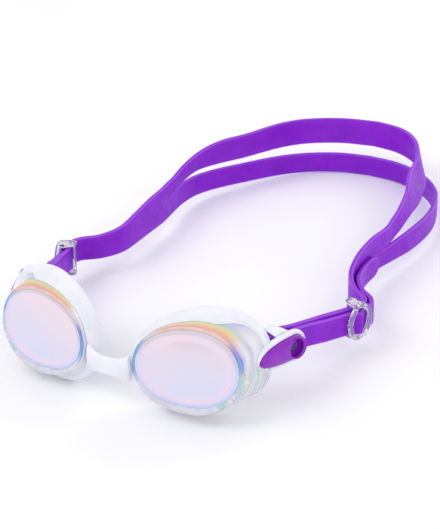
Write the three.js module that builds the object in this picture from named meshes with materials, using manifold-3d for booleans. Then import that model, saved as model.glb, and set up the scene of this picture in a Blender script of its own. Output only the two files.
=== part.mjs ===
// Swim goggles lying on a table: two mirrored eyecups with soft gaskets, a nose bridge,
// temple clips, strap sliders and one split head strap.
// Millimetres, +Z up, the wearer looks along -Y, +X is the wearer's left.
import * as THREE from 'three';
import { mergeVertices } from 'three/addons/utils/BufferGeometryUtils.js';
import Module from 'manifold-3d';

const wasm = await Module();
wasm.setup();

// ---- driving dimensions -------------------------------------------------------------
const GAP = 0.3;                    // clearance between touching pieces
const PUPIL_HALF = 36;              // lens centre from the middle plane
const LENS_HEIGHT = 4.9;            // lens centre above the lower edge of the strap
const LENS_A = 23.2;                // window half length
const LENS_B = 17.3;                // window half height
const LENS_POWER = 2.15;            // roundness of the window outline
const LENS_WRAP = 7.6;              // degrees, outer end turned back
const LENS_ROLL = 12.0;             // degrees, outer end raised
const LENS_LEAN = 11.8;             // degrees, top leaning back
const LENS_THICK = 1.3;
const CUP_WALL = 1.6;
const CUP_REAR_A = 25.6;            // rear rim of the eyecup, half length
const CUP_REAR_B = 17.6;            // and half height
const CUP_REAR_OUT = 2.3;           // rear rim moved towards the temple
const CUP_REAR_UP = 2.2;
const CUP_REAR_TWIST = 9;           // degrees, rear rim turned further up at the temple
const CUP_DEPTH = 8.2;              // depth of the cup at its middle
const CUP_DEPTH_SWING = 3.8;        // deeper at the temple, shallower at the nose
const OUTLINE_STEPS = 48;

const BRIDGE_HALF = 10.6;           // half span of the nose bridge
const BRIDGE_HEIGHT = 4.0;          // half height at its middle
const BRIDGE_FLARE = 2.6;           // added half height at its ends
const BRIDGE_THICK = 1.8;           // half thickness

const STRAP_THICK = 2.2;
const STRAP_HEIGHT = 11.4;          // strap height at the temple clips
const STRAP_CHAMFER = 0.5;
const TAIL_HEIGHT = 10.4;
const TAIL_BULGE = 2.4;             // how far the outer layer loops out between the slider bars
const BULGE_HALF = 4.0;
const TAIL_LIFT = 1.4;              // the free tail stands this far off the strap behind the slider
const TAIL_END = 0.93;              // where the tail ends, as a share of the side's route
const LAYER_GAP = 0.3;
const SLIT_HEIGHT = 18.5;           // strap height where it splits
const LOWER_BAND = 11.4;
const UPPER_BAND = 14.2;
const UPPER_BAND_Z = 16.0;          // lower edge of the upper band at the back of the head
const SLIT_SPLIT = 9.0;             // lower band height at the slit end
const LEAN_NEAR = 25;               // degrees, upper band leaning in along the left side
const LEAN_FAR = 10;                // and along the right side
const LEAN_BACK = 17;               // degrees, leaning out at the back of the head

const POST_RADIUS = 1.1;
const EYE_INNER = 2.4;              // inner radius of the strap eye round the post
const CLIP_YAW = 18;                // degrees, clip turned outwards from the fore-aft line
const CLIP_LENGTH = 27.5;
const CLIP_HEIGHT = 13.6;
const CLIP_PLATE = 1.8;
const CLIP_DEPTH = 9.0;             // plate to the end of its ribs
const CLIP_RIB = 1.2;               // thickness of the ribs above and below the strap
const CLIP_RIB_LENGTH = 9.5;
const COVER_RIM = 1.5;              // white rim left round the purple cover
const COVER_SEAT = 0.9;             // depth of the recess that holds the cover
const COVER_THICK = 3.0;
const HOLE_RADIUS = 4.1;
const HOLE_FLOOR = 0.8;             // left under the blind hole in the cover
const HOLE_BACK = 0.6;              // hole behind the middle of the cover's round end
const CLIP_REAR = 0.42;             // share of the clip's length behind the post
const PLATE_IN = EYE_INNER + STRAP_THICK + 0.4;
const EYE_GAP = 1.0;                // between the strap eye and the ribs, and the outer layer's start

const SLIDER_HALF_LENGTH = 7.2;
const SLIDER_HALF_HEIGHT = 8.8;
const SLIDER_BAR = 2.6;
const SLIDER_SIDE_BAR = 1.8;        // thickness of the bars outside and inside the strap
const SLIDER_CLEAR = 0.6;           // room round the strap inside the slider
const TABLE_PITCH = 3.9;            // degrees, brings the back of the strap down to the table

// Plan of one side of the strap from the temple clip to the slit, then round the head.
const ROUTE_HEIGHT = 11.6;          // strap height on the straight run
const POST = new THREE.Vector3(59.8, 29.2, 9.8);
const SLIDERS = {
  left: new THREE.Vector3(75.2, 75.0, 4.4),
  right: new THREE.Vector3(74.6, 70.0, 4.2),
};
// Beyond the slider: how far behind it, how far inside it, middle height, strap height.
const TURN_ROUTE = [
  [8.0, -2.4, 4.5, 11.8], [11.8, -0.4, 4.8, 12.0], [17.0, 6.3, 5.3, 12.4], [26.0, 12.0, 6.4, 13.6],
];
const SIDE_ROUTE = [
  [61.6, 112.0, 7.9, 16.0], [61.9, 126.0, 8.9, 17.8], [62.7, 136.6, 9.25, SLIT_HEIGHT],
];
const HEAD_ROUTE = [
  [62.7, 137.0], [65.3, 150.0], [67.6, 163.0], [67.8, 180.0], [64.6, 194.0], [58.8, 208.0],
  [53.0, 219.5], [44.0, 232.0], [32.0, 242.5], [17.0, 249.8], [0, 252.4],
];
const SKEW_SIDE = -2.0;             // the loop lies slightly askew: sideways shift beside the slit
const SKEW_BACK = 5.5;              // and the further shift at the back of the head

// ---- materials ----------------------------------------------------------------------
function material(color, roughness, metalness = 0, opacity = 1) {
  const transparent = opacity < 1;
  return new THREE.MeshStandardMaterial({ color, roughness, metalness, opacity, transparent });
}
const mirror = material(0xd9d2e6, 0.08, 0.8);
const clearPlastic = material(0xdcdae6, 0.1, 0, 0.45);
const whiteSilicone = material(0xf3f3f8, 0.5);
const purpleSilicone = material(0x7a22b8, 0.42);
const whitePlastic = material(0xe9ecf5, 0.3);
const purplePlastic = material(0x9b2db9, 0.35);
const steel = material(0xc9ccd2, 0.3, 0.9);

// ---- mesh helpers -------------------------------------------------------------------
/** Skin over equal rings of points: capped at both ends, or closed on itself. */
function skin(rings, closed = false) {
  const size = rings[0].length;
  const points = rings.flat();
  const faces = [];
  const spans = closed ? rings.length : rings.length - 1;
  for (let i = 0; i < spans; i += 1) {
    const a = i * size;
    const b = ((i + 1) % rings.length) * size;
    for (let j = 0; j < size; j += 1) {
      const k = (j + 1) % size;
      faces.push([a + j, a + k, b + k], [a + j, b + k, b + j]);
    }
  }
  if (!closed) {
    capRing(points, faces, 0, size, false);
    capRing(points, faces, (rings.length - 1) * size, size, true);
  }
  return outward(points, faces);
}

function capRing(points, faces, start, size, flip) {
  const flat = points.slice(start, start + size);
  const normal = new THREE.Vector3();
  for (let i = 0; i < size; i += 1) {
    normal.add(new THREE.Vector3().crossVectors(flat[i], flat[(i + 1) % size]));
  }
  normal.normalize();
  const across = new THREE.Vector3().subVectors(flat[1], flat[0]).normalize();
  const up = new THREE.Vector3().crossVectors(normal, across);
  const plan = flat.map((p) => new THREE.Vector2(p.dot(across), p.dot(up)));
  for (const [a, b, c] of THREE.ShapeUtils.triangulateShape(plan, [])) {
    const face = [start + a, start + b, start + c];
    faces.push(flip ? face : face.reverse());
  }
}

/** Indexed geometry from points and faces, turned so that its volume is positive. */
function outward(points, faces) {
  let volume = 0;
  for (const [a, b, c] of faces) {
    volume += points[a].dot(new THREE.Vector3().crossVectors(points[b], points[c]));
  }
  const geometry = new THREE.BufferGeometry();
  const values = points.flatMap((p) => p.toArray());
  geometry.setAttribute('position', new THREE.Float32BufferAttribute(values, 3));
  geometry.setIndex((volume < 0 ? faces.map((f) => [...f].reverse()) : faces).flat());
  return geometry;
}

function toSolid(geometry) {
  const bare = geometry.clone();
  bare.deleteAttribute('normal');
  bare.deleteAttribute('uv');
  const merged = mergeVertices(bare, 1e-4);
  const vertProperties = new Float32Array(merged.attributes.position.array);
  const triVerts = new Uint32Array(merged.index.array);
  return new wasm.Manifold(new wasm.Mesh({ numProp: 3, vertProperties, triVerts }));
}

function fromSolid(solid) {
  const mesh = solid.getMesh();
  const geometry = new THREE.BufferGeometry();
  geometry.setAttribute('position', new THREE.Float32BufferAttribute(mesh.vertProperties, 3));
  geometry.setIndex(Array.from(mesh.triVerts));
  return geometry;
}

/** The biggest of the bodies that a cut leaves. */
function largest(solid) {
  return solid.decompose().reduce((best, body) => (body.volume() > best.volume() ? body : best));
}

function box(width, depth, height, x, y, z) {
  return new THREE.BoxGeometry(width, depth, height).translate(x, y, z);
}

/** Upright cylinder. */
function peg(radius, height, x, y, z, sides = 24) {
  return new THREE.CylinderGeometry(radius, radius, height, sides).rotateX(Math.PI / 2).translate(x, y, z);
}

function named(name, geometry, look) {
  const mesh = new THREE.Mesh(geometry, look);
  mesh.name = name;
  return mesh;
}

const radians = THREE.MathUtils.degToRad;

// ---- eyecups ------------------------------------------------------------------------
/** Point of a rounded outline at an angle, with the outward direction there. */
function outline(angle, a, b) {
  const c = Math.cos(angle);
  const s = Math.sin(angle);
  const radius = (Math.abs(c / a) ** LENS_POWER + Math.abs(s / b) ** LENS_POWER) ** (-1 / LENS_POWER);
  const normal = new THREE.Vector2(c / a, s / b).normalize();
  return { point: new THREE.Vector2(c * radius, s * radius), normal };
}

/** Side wall of the cup: forward 0 at the window rim, 1 at the rear rim, moved out by offset. */
function wallPoint(angle, forward, offset, extraDepth = 0) {
  const front = outline(angle, LENS_A, LENS_B);
  const rear = outline(angle, CUP_REAR_A, CUP_REAR_B);
  const rearShift = new THREE.Vector2(CUP_REAR_OUT, CUP_REAR_UP);
  const centre = new THREE.Vector2();
  const rearPoint = rear.point.clone().rotateAround(centre, radians(CUP_REAR_TWIST)).add(rearShift);
  const flat = front.point.clone().lerp(rearPoint, forward);
  flat.addScaledVector(front.normal, offset);
  const rearDepth = CUP_DEPTH + CUP_DEPTH_SWING * Math.cos(angle);
  return new THREE.Vector3(flat.x, rearDepth * forward + extraDepth, flat.y);
}

/** Closed ring whose section is a list of [forward, offset, extra depth]. */
function rimSolid(section) {
  const rings = [];
  for (let i = 0; i < OUTLINE_STEPS; i += 1) {
    const angle = (2 * Math.PI * i) / OUTLINE_STEPS;
    rings.push(section.map(([forward, offset, depth]) => wallPoint(angle, forward, offset, depth)));
  }
  return skin(rings, true);
}

function lensGeometry() {
  const ring = (depth, offset) => {
    const points = [];
    for (let i = 0; i < OUTLINE_STEPS; i += 1) {
      const angle = (2 * Math.PI * i) / OUTLINE_STEPS;
      points.push(wallPoint(angle, 0, offset, depth));
    }
    return points;
  };
  return skin([ring(-0.3, -1.1), ring(0, -GAP), ring(LENS_THICK, -GAP)]);
}

function eyecupGeometry() {
  const step = LENS_THICK + GAP;
  return rimSolid([
    [0, 0, 0],
    [0, 1.3, 0],
    [0.12, 1.5, 0],
    [0.9, 1.3, 0],
    [1, 1.6, 0],
    [1, -0.4, 0],
    [0.6, -CUP_WALL, 0.3],
    [0, -CUP_WALL, step],
    [0, 0, step],
  ]);
}

function gasketGeometry() {
  return rimSolid([
    [1, 1.4, GAP],
    [1, 3.0, 1.5],
    [1, 4.2, 3.2],
    [1, 3.6, 4.9],
    [1, 1.2, 5.8],
    [1, 0.8, 4.7],
    [1, 2.4, 4.0],
    [1, 2.6, 3.2],
    [1, 1.4, 2.2],
    [1, -0.6, 1.8],
    [1, -0.6, GAP],
  ]);
}

/** Solid envelope of cup and gasket with a small clearance, for trimming the clip to it. */
function cupEnvelope() {
  const rings = [];
  for (const [forward, offset, depth] of [
    [0, 1.7, -0.4], [0.12, 1.9, 0], [1, 2.0, 0], [1, 3.5, 1.4], [1, 4.6, 3.2], [1, 4.0, 5.2], [1, 1.4, 6.2],
  ]) {
    const ring = [];
    for (let i = 0; i < OUTLINE_STEPS; i += 1) {
      ring.push(wallPoint((2 * Math.PI * i) / OUTLINE_STEPS, forward, offset, depth));
    }
    rings.push(ring);
  }
  return skin(rings);
}

/** Local frame of one lens; x runs towards the temple. */
function lensFrame(side) {
  const mirrorSide = new THREE.Matrix4().makeScale(side, 1, 1);
  const place = new THREE.Matrix4().makeTranslation(PUPIL_HALF, 0, 0);
  const wrap = new THREE.Matrix4().makeRotationZ(radians(LENS_WRAP));
  const roll = new THREE.Matrix4().makeRotationY(-radians(LENS_ROLL));
  const lean = new THREE.Matrix4().makeRotationX(-radians(LENS_LEAN));
  const raise = new THREE.Matrix4().makeTranslation(0, 0, LENS_HEIGHT);
  return raise.multiply(lean).multiply(mirrorSide).multiply(place).multiply(wrap).multiply(roll);
}

/** Geometry moved by a matrix, with its faces kept outward when the matrix mirrors. */
function moved(geometry, matrix) {
  const copy = geometry.clone().applyMatrix4(matrix);
  if (matrix.determinant() < 0) {
    const index = copy.index.array;
    for (let i = 0; i < index.length; i += 3) {
      [index[i], index[i + 2]] = [index[i + 2], index[i]];
    }
  }
  return copy;
}

// ---- nose bridge --------------------------------------------------------------------
function bridgeGeometry() {
  const rings = [];
  const steps = 12;
  for (let i = 0; i <= steps; i += 1) {
    const t = (2 * i) / steps - 1;
    const height = BRIDGE_HEIGHT + BRIDGE_FLARE * Math.abs(t) ** 3;
    const middle = new THREE.Vector3(BRIDGE_HALF * t, -3.4 + 1.6 * t * t, 0.2 + 0.6 * t * t);
    const ring = [];
    for (let j = 0; j < 12; j += 1) {
      const angle = (2 * Math.PI * j) / 12;
      const around = new THREE.Vector3(0, BRIDGE_THICK * Math.sin(angle), height * Math.cos(angle));
      ring.push(middle.clone().add(around));
    }
    rings.push(ring);
  }
  return skin(rings);
}

// ---- strap --------------------------------------------------------------------------
/** Sideways shift of the strap where it lies askew on the table. */
function skewAt(y) {
  const side = THREE.MathUtils.smoothstep(y, 90, 132);
  const back = THREE.MathUtils.smoothstep(y, 172, 222);
  return SKEW_SIDE * side + SKEW_BACK * back;
}

function skewed(geometry) {
  const position = geometry.attributes.position;
  for (let i = 0; i < position.count; i += 1) {
    position.setX(i, position.getX(i) + skewAt(position.getY(i)));
  }
  return geometry;
}

/** Route of one side: on the straight through the slider, round the turn, to the slit. */
function sideRoute(label) {
  const slider = SLIDERS[label];
  const before = new THREE.Vector3().lerpVectors(POST, slider, 0.6);
  return [
    [before.x, before.y, before.z, ROUTE_HEIGHT],
    [slider.x, slider.y, slider.z, ROUTE_HEIGHT],
    ...TURN_ROUTE.map(([behind, inside, z, height]) => [slider.x - inside, slider.y + behind, z, height]),
    ...SIDE_ROUTE,
  ];
}

/** Smooth open curve of the strap middle through route points. */
function curveOf(route) {
  const points = route.map(([x, y, z = 0]) => new THREE.Vector3(x, y, z));
  return new THREE.CatmullRomCurve3(points, false, 'centripetal');
}

/** Four corners of a strap section: base point, outward direction, lean, height, thickness. */
function strapSection(base, out, lean, low, high, inner, outer) {
  const up = new THREE.Vector3(out.x * Math.sin(lean), out.y * Math.sin(lean), Math.cos(lean));
  const side = new THREE.Vector3(out.x * Math.cos(lean), out.y * Math.cos(lean), -Math.sin(lean));
  const corner = (h, t) => base.clone().addScaledVector(up, h).addScaledVector(side, t);
  return [
    corner(low, inner + STRAP_CHAMFER),
    corner(low, outer - STRAP_CHAMFER),
    corner(low + STRAP_CHAMFER, outer),
    corner(high - STRAP_CHAMFER, outer),
    corner(high, outer - STRAP_CHAMFER),
    corner(high, inner + STRAP_CHAMFER),
    corner(high - STRAP_CHAMFER, inner),
    corner(low + STRAP_CHAMFER, inner),
  ];
}

/** Strap height along a route, as the y of a curve with the route's own spacing. */
function heightsOf(route) {
  const points = route.map(([, y, , h]) => new THREE.Vector3(y, h, 0));
  return new THREE.CatmullRomCurve3(points, false, 'centripetal');
}

function outwardOf(curve, t) {
  const tangent = curve.getTangent(t);
  return new THREE.Vector3(tangent.y, -tangent.x, 0).normalize();
}

/** Inner run of the strap: straight from the clip through the slider, then to the slit. */
function strapSideRings(label) {
  const rings = [];
  const straight = new THREE.Vector3().subVectors(SLIDERS[label], POST).setZ(0).normalize();
  const out = new THREE.Vector3(straight.y, -straight.x, 0);
  const begin = POST.clone().addScaledVector(straight, EYE_INNER + STRAP_THICK / 2);
  const inner = -STRAP_THICK - LAYER_GAP;
  rings.push(strapSection(begin, out, 0, -STRAP_HEIGHT / 2, STRAP_HEIGHT / 2, inner, -LAYER_GAP));
  const route = sideRoute(label);
  const curve = curveOf(route);
  const heights = heightsOf(route);
  const steps = 26;
  for (let i = 0; i <= steps; i += 1) {
    const t = i / steps;
    const half = heights.getPoint(t).y / 2;
    rings.push(strapSection(curve.getPoint(t), outwardOf(curve, t), 0, -half, half, inner, -LAYER_GAP));
  }
  return rings;
}

/** Closed eye of the strap that wraps the clip post. */
function strapEye() {
  const shape = new THREE.Shape();
  const outer = EYE_INNER + STRAP_THICK;
  shape.absarc(0, 0, outer, 0, 2 * Math.PI, false);
  const hole = new THREE.Path();
  hole.absarc(0, 0, EYE_INNER, 0, 2 * Math.PI, true);
  shape.holes.push(hole);
  const settings = { depth: STRAP_HEIGHT, bevelEnabled: false, curveSegments: 20 };
  const geometry = new THREE.ExtrudeGeometry(shape, settings);
  return geometry.translate(POST.x, POST.y, POST.z - STRAP_HEIGHT / 2);
}

function strapSideGeometry(label) {
  return fromSolid(toSolid(skin(strapSideRings(label))).add(toSolid(strapEye())));
}

/** Outer layer: back from the eye, a low loop between the slider bars, and the free tail. */
function tailGeometry(label) {
  const slider = SLIDERS[label];
  const straight = new THREE.Vector3().subVectors(slider, POST).setZ(0).normalize();
  const curve = curveOf(sideRoute(label));
  const rings = [];
  const half = TAIL_HEIGHT / 2;
  const heights = heightsOf(sideRoute(label));
  const first = POST.clone().addScaledVector(straight, EYE_INNER + STRAP_THICK + EYE_GAP);
  const out = new THREE.Vector3(straight.y, -straight.x, 0);
  rings.push(strapSection(first, out, 0, -half, half, 0, STRAP_THICK));
  const steps = 46;
  for (let i = 0; i <= steps; i += 1) {
    const t = (TAIL_END * i) / steps;
    const point = curve.getPoint(t);
    const along = point.y - slider.y;
    const swell = Math.min(1, Math.abs(along) / BULGE_HALF);
    const bulge = TAIL_BULGE * Math.cos(swell * (Math.PI / 2)) ** 2;
    const leave = THREE.MathUtils.smoothstep(along, 6, 15);
    const settle = THREE.MathUtils.smoothstep(along, 18, 44);
    const away = TAIL_LIFT * leave * (1 - 0.85 * settle);
    point.z += half - heights.getPoint(t).y / 2 + 0.3 * leave;
    const left = Math.min(1, (TAIL_END - t) / 0.07);
    const tall = half * Math.sqrt(Math.max(0.08, 1 - (1 - left) ** 2));
    const offset = bulge + away;
    rings.push(strapSection(point, outwardOf(curve, t), 0, -tall, tall, offset, offset + STRAP_THICK));
  }
  return skin(rings);
}

/** One band round the back of the head from side to side. */
function bandGeometry(lowAt, highAt, leanAt) {
  const half = curveOf(HEAD_ROUTE);
  const inner = -STRAP_THICK - LAYER_GAP;
  const rings = [];
  const steps = 44;
  for (let i = 0; i <= 2 * steps; i += 1) {
    const side = i <= steps ? 1 : -1;
    const t = i <= steps ? i / steps : (2 * steps - i) / steps;
    const point = half.getPoint(t);
    const out = i === steps ? new THREE.Vector3(0, 1, 0) : outwardOf(half, t);
    if (i === steps) point.x = 0;
    point.x *= side;
    out.x *= side;
    rings.push(strapSection(point, out, leanAt(t, side), lowAt(t), highAt(t), inner, -LAYER_GAP));
  }
  return skin(rings);
}

function rise(t, length) {
  return THREE.MathUtils.smoothstep(t, 0, length);
}

function upperBandGeometry() {
  const low = (t) => SLIT_SPLIT + GAP + (UPPER_BAND_Z - SLIT_SPLIT - GAP) * rise(t, 0.3);
  const high = (t) => SLIT_HEIGHT + (UPPER_BAND_Z + UPPER_BAND - SLIT_HEIGHT) * rise(t, 0.45);
  const lean = (t, side) => {
    const near = LEAN_NEAR * Math.sin(Math.PI * t);
    const far = LEAN_FAR * Math.sin(Math.PI * Math.min(1, t * 1.3));
    return radians(LEAN_BACK * rise(t - 0.45, 0.55) - (side > 0 ? near : far));
  };
  return bandGeometry(low, high, lean);
}

function lowerBandGeometry() {
  const high = (t) => SLIT_SPLIT + (LOWER_BAND - SLIT_SPLIT) * rise(t, 0.25);
  return bandGeometry(() => 0, high, () => 0);
}

// ---- temple clip --------------------------------------------------------------------
// Local frame: x outwards from the head, y along the strap, z up, origin on the post.
function teardrop(length, height, inset) {
  const rear = length * CLIP_REAR - inset;
  const front = length * (CLIP_REAR - 1) + inset;
  const half = height / 2 - inset;
  const shape = new THREE.Shape();
  shape.moveTo(front, -half * 0.25);
  shape.bezierCurveTo(front + 1, -half * 0.8, front * 0.4, -half, rear - half, -half);
  shape.absarc(rear - half, 0, half, -Math.PI / 2, Math.PI / 2, false);
  shape.bezierCurveTo(front * 0.5, half, front + 2, half * 0.45, front, -half * 0.25);
  return shape;
}

/** Teardrop plate standing in the y-z plane between two depths. */
function plate(length, height, inset, from, to, segments = 10) {
  const shape = teardrop(length, height, inset);
  const settings = { depth: to - from, bevelEnabled: false, curveSegments: segments };
  const geometry = new THREE.ExtrudeGeometry(shape, settings);
  return geometry.rotateX(Math.PI / 2).rotateZ(Math.PI / 2).translate(from, 0, 0);
}

function clipGeometry() {
  const ribInner = PLATE_IN - CLIP_DEPTH;
  const ribHeight = STRAP_HEIGHT / 2 + EYE_GAP;
  let solid = toSolid(plate(CLIP_LENGTH, CLIP_HEIGHT, 0, PLATE_IN, PLATE_IN + CLIP_PLATE));
  for (const side of [-1, 1]) {
    const ribMiddle = (PLATE_IN + ribInner) / 2 + 0.25;
    const level = side * (ribHeight + CLIP_RIB / 2);
    const rib = box(CLIP_DEPTH + 0.5, CLIP_RIB_LENGTH, CLIP_RIB, ribMiddle, 0.4, level);
    solid = solid.add(toSolid(rib));
  }
  const front = PLATE_IN + CLIP_PLATE;
  const cut = plate(CLIP_LENGTH, CLIP_HEIGHT, COVER_RIM - GAP, front - COVER_SEAT, front + 2);
  return fromSolid(solid.subtract(toSolid(cut)));
}

function insertGeometry() {
  const bottom = PLATE_IN + CLIP_PLATE - COVER_SEAT + GAP;
  const body = toSolid(plate(CLIP_LENGTH, CLIP_HEIGHT, COVER_RIM, bottom, bottom + COVER_THICK));
  const deep = 6;
  const hole = new THREE.CylinderGeometry(HOLE_RADIUS, HOLE_RADIUS, deep, 28).rotateZ(Math.PI / 2);
  hole.translate(bottom + HOLE_FLOOR + deep / 2, CLIP_LENGTH * CLIP_REAR - CLIP_HEIGHT / 2 + HOLE_BACK, 0);
  return fromSolid(body.subtract(toSolid(hole)));
}

function postGeometry() {
  return peg(POST_RADIUS, STRAP_HEIGHT + 2 * (EYE_GAP - GAP), 0, 0, 0);
}

function clipFrame(side) {
  const flip = new THREE.Matrix4().makeScale(side, 1, 1);
  const place = new THREE.Matrix4().makeTranslation(POST.x, POST.y, POST.z);
  const yaw = new THREE.Matrix4().makeRotationZ(-radians(CLIP_YAW));
  return flip.multiply(place).multiply(yaw);
}

// ---- slider -------------------------------------------------------------------------
// Local frame: x outwards, y along the strap, z up, origin between the strap layers.
function sliderGeometry() {
  const outerFace = STRAP_THICK + GAP;
  const innerFace = -STRAP_THICK - LAYER_GAP - SLIDER_CLEAR;
  const ovalShape = new THREE.Shape();
  ovalShape.absellipse(0, 0, SLIDER_HALF_LENGTH, SLIDER_HALF_HEIGHT, 0, 2 * Math.PI, false, 0);
  const depth = outerFace - innerFace + 2 * SLIDER_SIDE_BAR;
  const oval = new THREE.ExtrudeGeometry(ovalShape, { depth, bevelEnabled: false, curveSegments: 20 });
  oval.rotateX(Math.PI / 2).rotateZ(Math.PI / 2).translate(innerFace - SLIDER_SIDE_BAR, 0, 0);
  let solid = toSolid(oval);
  const tall = STRAP_HEIGHT + 3 * SLIDER_CLEAR;
  const slot = box(outerFace - innerFace, 4 * SLIDER_HALF_LENGTH, tall, (outerFace + innerFace) / 2, 0, 0);
  solid = solid.subtract(toSolid(slot));
  const outsideWindow = box(8, 2 * (SLIDER_HALF_LENGTH - SLIDER_BAR), tall, outerFace + 3.9, 0, 0);
  solid = solid.subtract(toSolid(outsideWindow));
  for (const side of [-1, 1]) {
    const length = SLIDER_HALF_LENGTH - SLIDER_BAR / 2;
    const middle = side * (SLIDER_BAR / 2 + length / 2);
    const insideWindow = box(8, length, tall, innerFace - 3.9, middle, 0);
    solid = solid.subtract(toSolid(insideWindow));
  }
  return fromSolid(solid);
}

function sliderFrame(label, side) {
  const slider = SLIDERS[label];
  const yaw = Math.atan2(slider.x - POST.x, slider.y - POST.y);
  const flip = new THREE.Matrix4().makeScale(side, 1, 1);
  const place = new THREE.Matrix4().makeTranslation(slider.x, slider.y, slider.z);
  return flip.multiply(place).multiply(new THREE.Matrix4().makeRotationZ(-yaw));
}

// ---- assembly -----------------------------------------------------------------------
const goggles = new THREE.Group();
for (const [label, side] of [['left', 1], ['right', -1]]) {
  const lens = lensFrame(side);
  goggles.add(named(`${label}_lens`, moved(lensGeometry(), lens), mirror));
  goggles.add(named(`${label}_eyecup`, moved(eyecupGeometry(), lens), clearPlastic));
  goggles.add(named(`${label}_gasket`, moved(gasketGeometry(), lens), whiteSilicone));
  const clip = clipFrame(side);
  const cup = toSolid(moved(cupEnvelope(), lens));
  const fitted = (geometry) => fromSolid(largest(toSolid(moved(geometry, clip)).subtract(cup)));
  goggles.add(named(`${label}_temple_clip`, fitted(clipGeometry()), whitePlastic));
  goggles.add(named(`${label}_clip_insert`, fitted(insertGeometry()), purplePlastic));
  goggles.add(named(`${label}_strap_post`, moved(postGeometry(), clip), steel));
  const strap = (geometry) => skewed(moved(geometry, new THREE.Matrix4().makeScale(side, 1, 1)));
  goggles.add(named(`${label}_strap_side`, strap(strapSideGeometry(label)), purpleSilicone));
  goggles.add(named(`${label}_strap_tail`, strap(tailGeometry(label)), purpleSilicone));
  goggles.add(named(`${label}_slider`, moved(sliderGeometry(), sliderFrame(label, side)), clearPlastic));
}
goggles.add(named('nose_bridge', bridgeGeometry(), whiteSilicone));
goggles.add(named('upper_band', skewed(upperBandGeometry()), purpleSilicone));
goggles.add(named('lower_band', skewed(lowerBandGeometry()), purpleSilicone));

const part = new THREE.Group();
goggles.rotation.x = -radians(TABLE_PITCH);
part.add(goggles);
part.updateMatrixWorld(true);
const bounds = new THREE.Box3().setFromObject(part, true);
const middle = bounds.getCenter(new THREE.Vector3());
goggles.position.set(-middle.x, -middle.y, -bounds.min.z);

export default part;
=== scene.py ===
"""Swim goggles lying on a pale table, seen from the front, above and to the wearer's left.

Shapes are worked out in the goggles' own frame, in millimetres: x to the wearer's left, y to the
back of the head, z up, zero at the lower edge of the strap. TO_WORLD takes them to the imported
model's frame, in metres.
"""
import math

import bmesh
import bpy
import numpy as np
from mathutils import Matrix, Vector

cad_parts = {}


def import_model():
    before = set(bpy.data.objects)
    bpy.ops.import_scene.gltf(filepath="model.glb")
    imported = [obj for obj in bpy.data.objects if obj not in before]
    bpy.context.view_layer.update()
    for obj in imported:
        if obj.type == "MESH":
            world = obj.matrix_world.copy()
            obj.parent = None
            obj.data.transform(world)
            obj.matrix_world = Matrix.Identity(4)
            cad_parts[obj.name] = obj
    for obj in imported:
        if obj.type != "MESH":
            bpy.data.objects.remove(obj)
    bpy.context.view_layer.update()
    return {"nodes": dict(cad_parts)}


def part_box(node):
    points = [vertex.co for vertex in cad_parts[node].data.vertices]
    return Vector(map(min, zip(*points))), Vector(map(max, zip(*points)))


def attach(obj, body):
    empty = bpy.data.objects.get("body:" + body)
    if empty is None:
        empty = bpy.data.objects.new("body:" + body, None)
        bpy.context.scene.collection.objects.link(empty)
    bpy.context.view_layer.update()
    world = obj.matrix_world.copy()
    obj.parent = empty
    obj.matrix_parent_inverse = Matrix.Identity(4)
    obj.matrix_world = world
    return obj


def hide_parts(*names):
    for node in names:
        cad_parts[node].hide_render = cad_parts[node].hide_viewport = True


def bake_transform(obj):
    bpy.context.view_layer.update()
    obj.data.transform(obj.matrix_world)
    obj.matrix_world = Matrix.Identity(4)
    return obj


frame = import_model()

MM = 0.001
SIDES = (("left", 1), ("right", -1))

# ---- driving dimensions, mm and degrees ------------------------------------------------
TABLE_PITCH = 3.9                   # brings the back of the strap down to the table
POST = Vector((59.8, 29.2, 9.8))    # middle of the left clip's post

PUPIL_HALF = 36.0                   # lens centre from the middle plane
LENS_HEIGHT = 4.9                   # lens centre above the lower edge of the strap
LENS_A = 23.2                       # window half length
LENS_B = 17.3                       # window half height
LENS_POWER = 2.15                   # roundness of the window outline
LENS_WRAP = 7.6                     # degrees, outer end turned back
LENS_ROLL = 12.0                    # degrees, outer end raised
LENS_LEAN = 11.8                    # degrees, top leaning back
LENS_THICK = 1.3
LENS_LET_IN = 0.04                  # the window's edge reaches this far into the cup's rim
CUP_REAR_A = 25.6                   # rear rim of the eyecup, half length
CUP_REAR_B = 17.6                   # and half height
CUP_REAR_OUT = 2.3                  # rear rim moved towards the temple
CUP_REAR_UP = 2.2
CUP_REAR_TWIST = 9.0                # degrees, rear rim turned further up at the temple
CUP_DEPTH = 8.2                     # depth of the cup at its middle
CUP_DEPTH_SWING = 3.8               # deeper at the temple, shallower at the nose
CUP_WALL = 1.6
OUTLINE_STEPS = 144
CURVE_STEPS = 12                    # rings on each span of the strap's route
LENS_RINGS = 26                     # rings from the window's edge to its middle
NASAL_TAPER = 0.12                  # the window narrows towards its lower nasal corner
NASAL_CORNER = 222.0                # degrees round the outline
WINDOW_LIFT = 1.9                   # the window's lower edge stands this far inside the cup's

BRIDGE_HALF = 10.6                  # half span of the nose bridge
BRIDGE_HEIGHT = 4.0                 # half height at its middle
BRIDGE_FLARE = 2.6                  # added half height at its ends
BRIDGE_THICK = 1.8                  # half thickness

SLIDER_LENGTH = 14.4
SLIDER_HEIGHT = 17.6
SLIDER_RIM = 2.4                    # width of the slider's oval rim
SLIDER_BAR = 1.8                    # thickness of its bars
SLIDER_OUTER = 2.55                 # inside faces of the bars, outwards from the route line
SLIDER_INNER = -3.0
SLIDER_LEAN = 9.0                   # degrees, the slider's top stands further back

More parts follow.
